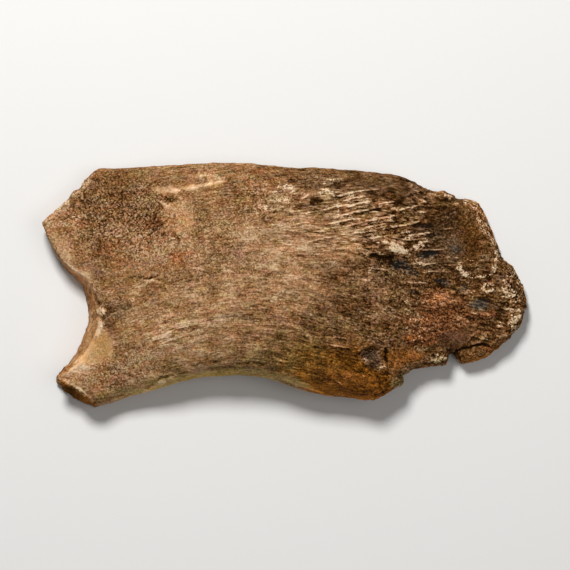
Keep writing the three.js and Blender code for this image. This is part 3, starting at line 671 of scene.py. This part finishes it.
def finish_map(surface):
    """What each channel amounts to at every vertex, and under raise the height that the marks add."""
    x, y = surface.x, surface.y
    amounts = {channel: np.full(len(x), PLAIN_BONE.get(channel, 0.0)) for channel in CHANNELS}
    amounts["raise"] = np.zeros(len(x))

    def add(share, adds):
        for channel, amount in adds.items():
            amounts[channel] += share * amount

    kept = 1 - UNDERSIDE_LOSS * surface.under
    drifted_x = x + rough(surface.points / DRIFT_LENGTH, 41, 2) * RIM_DRIFT
    drifted_y = y + rough(surface.points / DRIFT_LENGTH, 43, 2) * RIM_DRIFT
    for centre, half, turn, adds in REGIONS.values():
        add(in_oval(drifted_x, drifted_y, centre, half, turn) * kept, adds)

    fibrous_waver = rough(surface.along_grain(1.7, 0.9), 42, 3)
    crumbly_waver = 0.8 * rough(surface.points / 1.1, 46, 2)
    reach = surface.top + 0.6 * surface.wall

    def draw(finish, half_width, path, strength=1.0):
        """Draws a mark. What its sides are like follows from its finish."""
        adds = FINISHES[finish]
        waver = crumbly_waver if adds.get("grainy", 0) >= CRUMBLY else fibrous_waver
        if adds.get("raise", 0) >= TALL:
            waver = 0.35 * waver
        add(near_path(x, y, path, half_width, waver) * reach * strength, adds)

    for strength, *path in LEDGES:
        draw("ledge crest", LEDGE_WIDTH, path, strength)
        draw("ledge groove", LEDGE_WIDTH, [(px, py - LEDGE_DROP) for px, py in path], strength)
    for finish, marks in MARKS.items():
        for half_width, *path in marks:
            draw(finish, half_width, path)

    broken = broken_share(surface) * surface.wall
    add(broken, {"spongy": 1.0, "ochre": 0.6})
    add(surface.under, {"tone": 0.02})
    # Painted light: the walls are paled, and those that face -Y more, in place of light reaching them
    add(surface.wall, {"tone": 0.07})
    add(surface.wall * np.clip(-surface.normals[:, 1], 0, 1), {"tone": 0.1})
    centre, half, turn, adds = NOTCH_WALL
    by_notch = in_oval(x, y, centre, half, turn)
    add(broken * by_notch, adds)
    lip = 1 - smooth(np.abs(surface.normals[:, 2] - LIP_SLOPE), 0.08, 0.26)
    add(0.6 * by_notch * lip, FINISHES["notch lip"])
    return amounts


def ledge_map(surface):
    """How many millimetres above the nearest ledge's crest each vertex lies, and how strong that ledge is."""
    x, y = surface.x, surface.y
    above = np.full(len(x), 9.0)
    strength = np.zeros(len(x))
    for share, *path in LEDGES:
        offset, place = beside_path(x, y, path)
        closer = np.abs(offset) < np.abs(above)
        above = np.where(closer, offset, above)
        fade = (1 - np.abs(2 * place - 1) ** 3) * (1 - smooth(np.abs(offset), 1.0, 1.5))
        strength = np.where(closer, share * fade * surface.top, strength)
    return above, strength


def carve(surface, amounts, groove_depth, pit_depth):
    """The height that grooves, pits, lumps and chips add to each vertex, in millimetres."""
    fibrous = np.clip(amounts["fibrous"], 0, 1.4)
    pitted = np.clip(amounts["pitted"], 0, 1)
    spongy = np.clip(amounts["spongy"], 0, 1)
    grainy = np.clip(amounts["grainy"], 0, 1)
    broken = broken_share(surface) * surface.wall

    broad = waves(surface.along_grain(11, 2.6), 1)
    grooves = rough(surface.along_grain(5.5, 1.25), 2, 2)
    threads = waves(surface.along_grain(3.0, 0.72), 3)
    lumps = rough(surface.points / 4.2, 4, 2)
    grit = waves(surface.points / 0.85, 5)
    distance, chance = cells(surface.points / 1.25, 6)
    pits = 1 - smooth(distance, 0.12, 0.2 + 0.4 * chance)
    holes_distance, _ = cells(surface.points / (1.6, 1.6, 1.2), 7)
    holes = 1 - smooth(holes_distance, 0.2, 0.55)

    height = groove_depth * fibrous * (0.5 * broad + 0.75 * grooves + 0.5 * threads)
    height += 0.1 * lumps + grainy * (0.03 + 0.04 * pitted) * grit
    height -= pit_depth * pitted * pits
    height -= 0.5 * spongy * holes
    height += 0.28 * broken * rough(surface.points / 2.3, 8, 3)
    return height


def round_the_edge(surface, on_edge):
    """How far round the edge each vertex lies, from 0 to 1, by its bearing from the hub."""
    dx, dy = surface.x - HUB[0], surface.y - HUB[1]
    bearing = np.arctan2(dy, dx) / math.tau % 1
    place = (bearing[on_edge] * BEARINGS).astype(int) % BEARINGS
    count = np.bincount(place, minlength=BEARINGS)
    reach = np.bincount(place, np.hypot(dx, dy)[on_edge], BEARINGS) / np.maximum(count, 1)
    reach = np.interp(np.arange(BEARINGS), np.flatnonzero(count), reach[count > 0])
    run = np.hypot(np.diff(reach, append=reach[0]), reach * math.tau / BEARINGS)
    far = np.cumsum(np.append(0, run))
    return np.interp(bearing * BEARINGS, np.arange(BEARINGS + 1), far / far[-1])


def lay_out(mesh, surface):
    """Writes the flat map of the bone that colours can be baked on."""
    corners = np.zeros(len(mesh.loops), np.int32)
    mesh.loops.foreach_get("vertex_index", corners)
    corners = corners.reshape(len(mesh.polygons), -1)
    facing = surface.normals[corners, 2].mean(axis=1)
    edge = np.abs(facing) < EDGE_SLOPE
    share = round_the_edge(surface, np.unique(corners[edge]))[corners]
    share += (share < 0.5) & (np.ptp(share, axis=1) > 0.5)[:, None]
    x, y, z = surface.x[corners], surface.y[corners], surface.z[corners]
    across = x + SHEET_X
    upward = np.where(facing[:, None] > 0, TOP_Y + y, UNDER_Y - y)
    first = edge & (share.mean(axis=1) < FIRST_STRIP)
    second = edge & ~first
    across[first] = FIRST_STRIP_AT[0] + STRIP_LENGTH * share[first]
    upward[first] = FIRST_STRIP_AT[1] + z[first]
    across[second] = SECOND_STRIP_AT[0] + z[second]
    upward[second] = SECOND_STRIP_AT[1] + STRIP_LENGTH * (share[second] - FIRST_STRIP)
    flat = np.stack([across, upward], axis=-1) / SHEET
    layer = mesh.uv_layers.new(name="OFBake", do_init=False)
    layer.uv.foreach_set("vector", flat.astype(np.float32).ravel())


def write_attribute(mesh, name, values):
    """Writes one number or one vector for each vertex."""
    kind = "FLOAT" if values.ndim == 1 else "FLOAT_VECTOR"
    attribute = mesh.attributes.new(name, kind, "POINT")
    field = "value" if values.ndim == 1 else "vector"
    attribute.data.foreach_set(field, values.astype(np.float32).ravel())


def dress(rib, groove_depth, pit_depth):
    """Carves the surface of the rib and writes what its material reads."""
    mesh = rib.data
    surface = Surface(mesh)
    amounts = finish_map(surface)
    height = carve(surface, amounts, groove_depth, pit_depth) + amounts.pop("raise")
    moved = surface.points + surface.normals * height[:, None]
    moved[:, 2] = np.maximum(moved[:, 2], 0)
    mesh.vertices.foreach_set("co", (moved * MM).astype(np.float32).ravel())
    for polygon in mesh.polygons:
        polygon.use_smooth = True
    lay_out(mesh, surface)
    write_attribute(mesh, "grain", surface.grain)
    # The material reads the relief to paint shade in its hollows and light on its raised parts
    write_attribute(mesh, "relief", np.clip(height / 0.3, -1.5, 1.5))
    above, strength = ledge_map(surface)
    write_attribute(mesh, "above_ledge", above)
    write_attribute(mesh, "ledge", strength)
    for channel, values in amounts.items():
        write_attribute(mesh, channel, values)
    mesh.update()


# ---- Materials ----


class Nodes:
    """Builds a material's node tree, a node at a time."""

    def __init__(self, name):
        self.material = bpy.data.materials.new(name)
        self.material.use_nodes = True
        self.tree = self.material.node_tree
        self.tree.nodes.clear()

    def add(self, kind, inputs, **settings):
        """Makes a node, and fills its inputs with values or links them to other nodes' outputs."""
        node = self.tree.nodes.new(kind)
        for name, value in settings.items():
            setattr(node, name, value)
        for name, value in inputs.items():
            if isinstance(value, bpy.types.NodeSocket):
                self.tree.links.new(value, node.inputs[name])
            else:
                node.inputs[name].default_value = value
        return node

    def finish(self, look):
        """Ends the tree with a shader of that look, and hands over the material."""
        shader = self.add("ShaderNodeBsdfPrincipled", look)
        self.add("ShaderNodeOutputMaterial", {"Surface": shader.outputs["BSDF"]})
        return self.material

    def attribute(self, name, output="Fac"):
        return self.add("ShaderNodeAttribute", {}, attribute_name=name).outputs[output]

    def math(self, operation, *values, clamp=False):
        inputs = dict(enumerate(values))
        return self.add("ShaderNodeMath", inputs, operation=operation, use_clamp=clamp).outputs["Value"]

    def product(self, first, second, clamp=False):
        return self.math("MULTIPLY", first, second, clamp=clamp)

    def total(self, *terms):
        """The sum of (value, weight) terms."""
        result = 0.0
        for value, weight in terms:
            result = self.math("MULTIPLY_ADD", value, weight, result)
        return result

    def step(self, value, start, end):
        """0 before start, 1 after end, and eased between them."""
        inputs = {"Value": value, "From Min": start, "From Max": end}
        return self.add("ShaderNodeMapRange", inputs, interpolation_type="SMOOTHSTEP").outputs["Result"]

    def scaled(self, vector, *scale):
        """A vector times one scale for all axes, one along and one across the bone, or one for each axis."""
        scale = (*scale, scale[-1], scale[-1])[:3]
        node = self.add("ShaderNodeVectorMath", {0: vector, 1: scale}, operation="MULTIPLY")
        return node.outputs["Vector"]

    def noise(self, vector, detail, roughness, distortion=0.0):
        """Noise from about -1 to 1."""
        inputs = {"Vector": vector, "Scale": 1.0, "Detail": detail, "Roughness": roughness}
        inputs["Distortion"] = distortion
        return self.math("MULTIPLY_ADD", self.add("ShaderNodeTexNoise", inputs).outputs["Fac"], 4.0, -2.0)

    def pores(self, vector, bending):
        """Distance to the middle of the nearest pore, with pores of uneven shape."""
        noise = self.add("ShaderNodeTexNoise", {"Vector": bending, "Scale": 1.0})
        bend = self.scaled(noise.outputs["Color"], 1.2)
        bent = self.add("ShaderNodeVectorMath", {0: vector, 1: bend}, operation="ADD").outputs["Vector"]
        return self.add("ShaderNodeTexVoronoi", {"Vector": bent, "Scale": 1.0}).outputs["Distance"]

    def crumbs(self, vector):
        """Two random numbers from -1 to 1 for each crumb of a packed surface."""
        node = self.add("ShaderNodeTexVoronoi", {"Vector": vector, "Scale": 1.0})
        parts = self.add("ShaderNodeSeparateColor", {"Color": node.outputs["Color"]})
        return [self.math("MULTIPLY_ADD", parts.outputs[name], 2.0, -1.0) for name in ("Red", "Green")]

    def ramp(self, value, stops):
        """A colour for each value, from (value, colour) stops."""
        node = self.add("ShaderNodeValToRGB", {"Fac": value})
        elements = node.color_ramp.elements
        while len(elements) < len(stops):
            elements.new(0.5)
        for element, (position, colour) in zip(elements, stops):
            element.position = position
            element.color = opaque(colour)
        return node.outputs["Color"]

    def stain(self, under, strength, most, colour):
        """Lays a stain over a colour, up to a share of most, keeping the colour's lightness."""
        inputs = {"Factor": self.product(strength, most, clamp=True), "A": under, "B": opaque(colour)}
        return self.add("ShaderNodeMix", inputs, data_type="RGBA", blend_type="COLOR").outputs["Result"]


def opaque(colour):
    return (*colour, 1.0)


def bone_material(colours):
    """The fossil bone, coloured and roughened by the channels that the mesh carries."""
    n = Nodes("fossil_bone")
    grain = n.attribute("grain", "Vector")
    place = n.scaled(n.add("ShaderNodeTexCoord", {}).outputs["Object"], 1 / MM)

    streaks = n.noise(n.scaled(grain, 0.11, 1.15), 4.0, 0.65, 0.3)
    threads = n.noise(n.scaled(grain, 0.32, 2.3), 3.0, 0.75)
    mottle = n.noise(n.scaled(place, 0.13), 5.0, 0.6)
    grit = n.noise(n.scaled(place, 2.1), 3.0, 0.75)
    crumbs, crumb_tint = n.crumbs(n.scaled(place, 2.5))
    splinters, splinter_tint = n.crumbs(n.scaled(grain, 0.55, 2.9))
    slivers, _ = n.crumbs(n.scaled(grain, 0.16, 1.9))
    warmth = n.total((n.noise(n.scaled(grain, 0.2, 0.4), 6.0, 0.72), 1.2), (splinter_tint, 0.35))
    green = n.total((n.noise(n.scaled(place, 0.28, 0.42, 0.4), 6.0, 0.72), 1.2), (crumb_tint, 0.35))
    pore = n.step(n.pores(n.scaled(place, 1.0), n.scaled(grain, 0.9)), 0.5, 0.12)

    fibrous = n.math("MAXIMUM", n.attribute("fibrous"), 0.0)
    pitted = n.math("MAXIMUM", n.attribute("pitted"), 0.0)
    relief = n.attribute("relief")
    lines = n.product(fibrous, n.total((streaks, 0.65), (threads, 0.9), (splinters, 0.6)))
    specks = n.product(n.attribute("grainy"), n.total((grit, 0.5), (crumbs, 0.6)))
    coarse = n.product(pitted, specks)
    pits = n.product(pitted, pore)
    holes = n.product(n.attribute("spongy"), pore)

    ledge = n.attribute("ledge")
    ledge = n.total((ledge, 1.0), (n.product(ledge, threads), 0.5))
    above = n.total((n.attribute("above_ledge"), 1.0), (threads, 0.1), (grit, 0.06))
    ledge_width = n.math("MULTIPLY_ADD", ledge, 0.26, 0.08)
    # The ledges' painted light and shade: each crest is paled, partly as pale bone and partly as a painted
    # highlight, and a band below it, over the groove, is darkened as painted shadow
    crest = n.step(n.math("DIVIDE", n.math("ABSOLUTE", above), ledge_width), 1.3, 0.6)
    shade = n.product(n.step(above, -0.9, -0.45), n.step(above, -0.12, -0.3))
    ledge_light_and_shade = n.product(n.product(ledge, 1.6, clamp=True), n.total((crest, 0.4), (shade, -0.14)))
    sliver_tone = n.total((n.step(slivers, 0.72, 0.9), 0.14), (n.step(slivers, -0.5, -0.8), -0.1))
    sliver_tone = n.product(n.step(fibrous, 0.85, 1.2), sliver_tone)

    loose = n.total((streaks, 0.36), (threads, 0.24), (specks, 0.36), (splinters, 0.2))
    # The relief brings more pale flecks onto raised parts, a painted highlight
    flecked = n.step(n.total((n.attribute("chalk"), 1.0), (loose, 1.0), (relief, 0.12)), 0.5, 0.9)
    tone = n.total(
        (n.attribute("tone"), 1.0),
        (lines, 0.27),
        (mottle, 0.07),
        (specks, 0.38),
        (coarse, 0.09),
        # painted shade and light: darker in the hollows of the relief, paler on its raised parts
        (relief, 0.15),
        (flecked, 0.34),
        (ledge_light_and_shade, 1.0),
        (sliver_tone, 1.0),
        (pits, -0.08),
        (holes, -0.15),
    )
    shades = (
        (0.04, colours.soot),
        (0.16, colours.umber),
        (0.28, colours.brown),
        (0.4, colours.tan),
        (0.52, colours.cream),
        (0.71, colours.chalk),
        (0.95, colours.bleached),
    )

    bare = n.math("SUBTRACT", 1.0, n.product(flecked, 0.75))
    soaked = n.product(bare, n.math("MULTIPLY_ADD", n.step(tone, 0.05, 0.4), 0.6, 0.4))
    shaded = n.product(bare, n.step(tone, 0.55, 0.2))
    rusting = n.product(bare, n.math("MULTIPLY_ADD", n.step(tone, 0.6, 0.35), 0.35, 0.65))

    def tint(patches, start, end):
        """The strength of a tint that comes where the patches pass from start to end."""
        return n.product(soaked, n.step(patches, start, end))

    def patchy(channel, patches, weight, share=soaked):
        """A channel's strength, uneven as the patches are."""
        value = n.attribute(channel)
        uneven = n.total((value, 1.0), (n.product(value, patches), weight))
        return n.product(share, n.step(uneven, 0.1, 1.2))

    colour = n.ramp(n.product(tone, 0.85), shades)
    for strength, most, stain in (
        (tint(warmth, -0.35, 1.0), 0.5, colours.rust),
        (tint(warmth, 0.35, -1.1), 0.4, colours.ash),
        (tint(green, 0.1, 1.0), 0.55, colours.moss),
        (tint(green, 0.0, -0.9), 0.63, colours.mauve),
        (patchy("ochre", mottle, 0.4, bare), 0.95, colours.ochre),
        (patchy("rust", warmth, 0.9, rusting), 0.9, colours.rust),
        (patchy("ash", mottle, 0.7), 0.75, colours.ash),
        (patchy("slate", green, 0.8, shaded), 0.75, colours.slate),
        (patchy("moss", green, 0.7), 0.75, colours.moss),
        (patchy("mauve", green, -0.5), 0.8, colours.mauve),
        (patchy("amber", mottle, 0.5), 0.8, colours.amber),
    ):
        colour = n.stain(colour, strength, most, stain)

    roughness = n.total((grit, 0.04), (fibrous, 0.08), (flecked, 0.15))
    height = n.total((lines, 0.5), (specks, 0.8), (coarse, 0.5), (pits, -0.5), (holes, -1.0))
    bump = n.add("ShaderNodeBump", {"Strength": 1.0, "Distance": 0.25 * MM, "Height": height})
    look = {
        "Base Color": colour,
        "Roughness": n.math("ADD", roughness, 0.68, clamp=True),
        "Specular IOR Level": 0.03,
        "Normal": bump.outputs["Normal"],
    }
    return n.finish(look)


# ---- The studio ----


def floor_material(colour):
    return Nodes("pale_floor").finish({"Base Color": opaque(colour), "Roughness": 0.9})


def make_floor(studio):
    half = studio.floor_size / 2
    corners = [(-half, -half, 0), (half, -half, 0), (half, half, 0), (-half, half, 0)]
    mesh = bpy.data.meshes.new("floor")
    mesh.from_pydata(corners, [], [(0, 1, 2, 3)])
    floor = bpy.data.objects.new("floor", mesh)
    floor.data.materials.append(floor_material(studio.floor_colour))
    bpy.context.scene.collection.objects.link(floor)


def make_light(name, position, size, power):
    """A round lamp, turned to the bone."""
    data = bpy.data.lights.new(name, "AREA")
    data.shape = "DISK"
    data.size = size
    data.energy = power
    light = bpy.data.objects.new(name, data)
    light.location = position
    light.rotation_euler = (Vector(AIM) - Vector(position)).to_track_quat("-Z", "Y").to_euler()
    bpy.context.scene.collection.objects.link(light)


def make_world(brightness):
    world = bpy.data.worlds.new("studio")
    world.use_nodes = True
    background = world.node_tree.nodes["Background"]
    background.inputs["Color"].default_value = (1, 1, 1, 1)
    background.inputs["Strength"].default_value = brightness
    bpy.context.scene.world = world


def make_camera(studio):
    """A long lens straight above the rib. Its frame is view_width wide at the height of the rib's edge."""
    data = bpy.data.cameras.new("camera")
    data.lens = data.sensor_width * studio.camera_distance / studio.view_width
    data.clip_end = 20
    camera = bpy.data.objects.new("camera", data)
    camera.location = (0, 0, studio.camera_distance + studio.edge_height)
    bpy.context.scene.collection.objects.link(camera)
    bpy.context.scene.camera = camera


# ---- Settings, operators and panel ----


def number(name, description, default, **settings):
    """A plain number, or one with limits or a unit."""
    return FloatProperty(name=name, description=description, default=default, **settings)


def measure(name, description, default):
    """A length, in metres."""
    return number(name, description, default, unit="LENGTH")


def swatch(name, description, default):
    """A colour that can be picked."""
    settings = {"subtype": "COLOR", "min": 0, "max": 1}
    return FloatVectorProperty(name=name, description=description, default=default, **settings)


class RibSettings(bpy.types.PropertyGroup):
    """Sizes and colours of the fossil rib."""

    levels: IntProperty(name="Levels", description="Subdivisions of the rib's mesh", default=2, min=0, max=3)
    sharp_angle: number("Sharp angle", "Edges above it stay crisp", math.radians(42), subtype="ANGLE")
    sharpness: number("Sharpness", "How crisp the sharp edges stay", 1.0, min=0, max=1)
    groove_depth: measure("Groove depth", "Depth of the fibre grooves where they are strongest", 0.3 * MM)
    pit_depth: measure("Pit depth", "Depth of the pits in the pitted areas", 0.22 * MM)
    soot: swatch("Soot", "Deepest hollows", (0.015, 0.005, 0.0005))
    umber: swatch("Umber", "Dark bone", (0.062, 0.023, 0.0026))
    brown: swatch("Brown", "Middle brown bone", (0.147, 0.063, 0.0145))
    tan: swatch("Tan", "Light brown bone", (0.285, 0.14, 0.05))
    cream: swatch("Cream", "Palest bone", (0.46, 0.255, 0.11))
    chalk: swatch("Chalk", "Mineral crust and chips", (0.74, 0.53, 0.33))
    bleached: swatch("Bleached", "Whitest crust", (0.97, 0.76, 0.5))
    rust: swatch("Rust", "Iron stain", (0.3, 0.098, 0.03))
    ochre: swatch("Ochre", "Earth stain", (0.3, 0.105, 0.008))
    ash: swatch("Ash", "Grey stain", (0.15, 0.107, 0.07))
    slate: swatch("Slate", "Blue-grey stain", (0.1, 0.1, 0.083))
    mauve: swatch("Mauve", "Pinkish grey patches", (0.2, 0.093, 0.056))
    moss: swatch("Moss", "Green-grey stain", (0.15, 0.108, 0.034))
    amber: swatch("Amber", "Worn yellow bone", (0.42, 0.23, 0.075))


class StudioSettings(bpy.types.PropertyGroup):
    """Floor, lights and camera."""

    floor_size: measure("Floor size", "Side of the floor", 4.0)
    floor_colour: swatch("Floor colour", "Plain pale floor", (0.78, 0.77, 0.75))
    key_power: number("Key light", "Power of the main light", 6.5, unit="POWER")
    fill_power: number("Fill light", "Power of the fill light", 1.6, unit="POWER")
    sky: number("Sky", "Brightness of the surroundings", 0.15, min=0)
    camera_distance: measure("Camera distance", "Lens to the edge of the rib", 1.4)
    view_width: measure("View width", "Width of the frame at the rib's edge", 163.53 * MM)
    edge_height: measure("Edge height", "Height of the rib's widest outline", 7 * MM)


class FOSSIL_OT_rib(bpy.types.Operator):
    """Makes the finished rib in place of its plain solid"""

    bl_idname = "fossil.rib"
    bl_label = "Rib"

    def execute(self, context):
        settings = context.scene.fossil_rib
        rib = finer_mesh(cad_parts["rib"], settings.levels, settings.sharp_angle, settings.sharpness)
        dress(rib, settings.groove_depth / MM, settings.pit_depth / MM)
        rib.data.materials.clear()
        rib.data.materials.append(bone_material(settings))
        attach(rib, "root")
        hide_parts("rib")
        return {"FINISHED"}


class FOSSIL_OT_studio(bpy.types.Operator):
    """Makes the floor, the lights and the camera"""

    bl_idname = "fossil.studio"
    bl_label = "Studio"

    def execute(self, context):
        studio = context.scene.fossil_studio
        make_floor(studio)
        make_light("key", KEY_AT, KEY_SIZE, studio.key_power)
        make_light("fill", FILL_AT, FILL_SIZE, studio.fill_power)
        make_world(studio.sky)
        make_camera(studio)
        context.scene.view_settings.view_transform = "Standard"
        return {"FINISHED"}


OPERATORS = (FOSSIL_OT_rib, FOSSIL_OT_studio)


class FOSSIL_PT_build(bpy.types.Panel):
    """Lists what can be made."""

    bl_idname = "FOSSIL_PT_build"
    bl_label = "Fossil Rib"
    bl_space_type = "VIEW_3D"
    bl_region_type = "UI"
    bl_category = "Fossil"

    def draw(self, context):
        for operator in OPERATORS:
            self.layout.operator(operator.bl_idname)


CLASSES = (RibSettings, StudioSettings, *OPERATORS, FOSSIL_PT_build)


def register():
    for cls in CLASSES:
        bpy.utils.register_class(cls)
    bpy.types.Scene.fossil_rib = PointerProperty(type=RibSettings)
    bpy.types.Scene.fossil_studio = PointerProperty(type=StudioSettings)


def unregister():
    del bpy.types.Scene.fossil_studio
    del bpy.types.Scene.fossil_rib
    for cls in reversed(CLASSES):
        bpy.utils.unregister_class(cls)


def main():
    register()
    bpy.ops.fossil.studio()
    bpy.ops.fossil.rib()


if __name__ == "__main__":
    main()
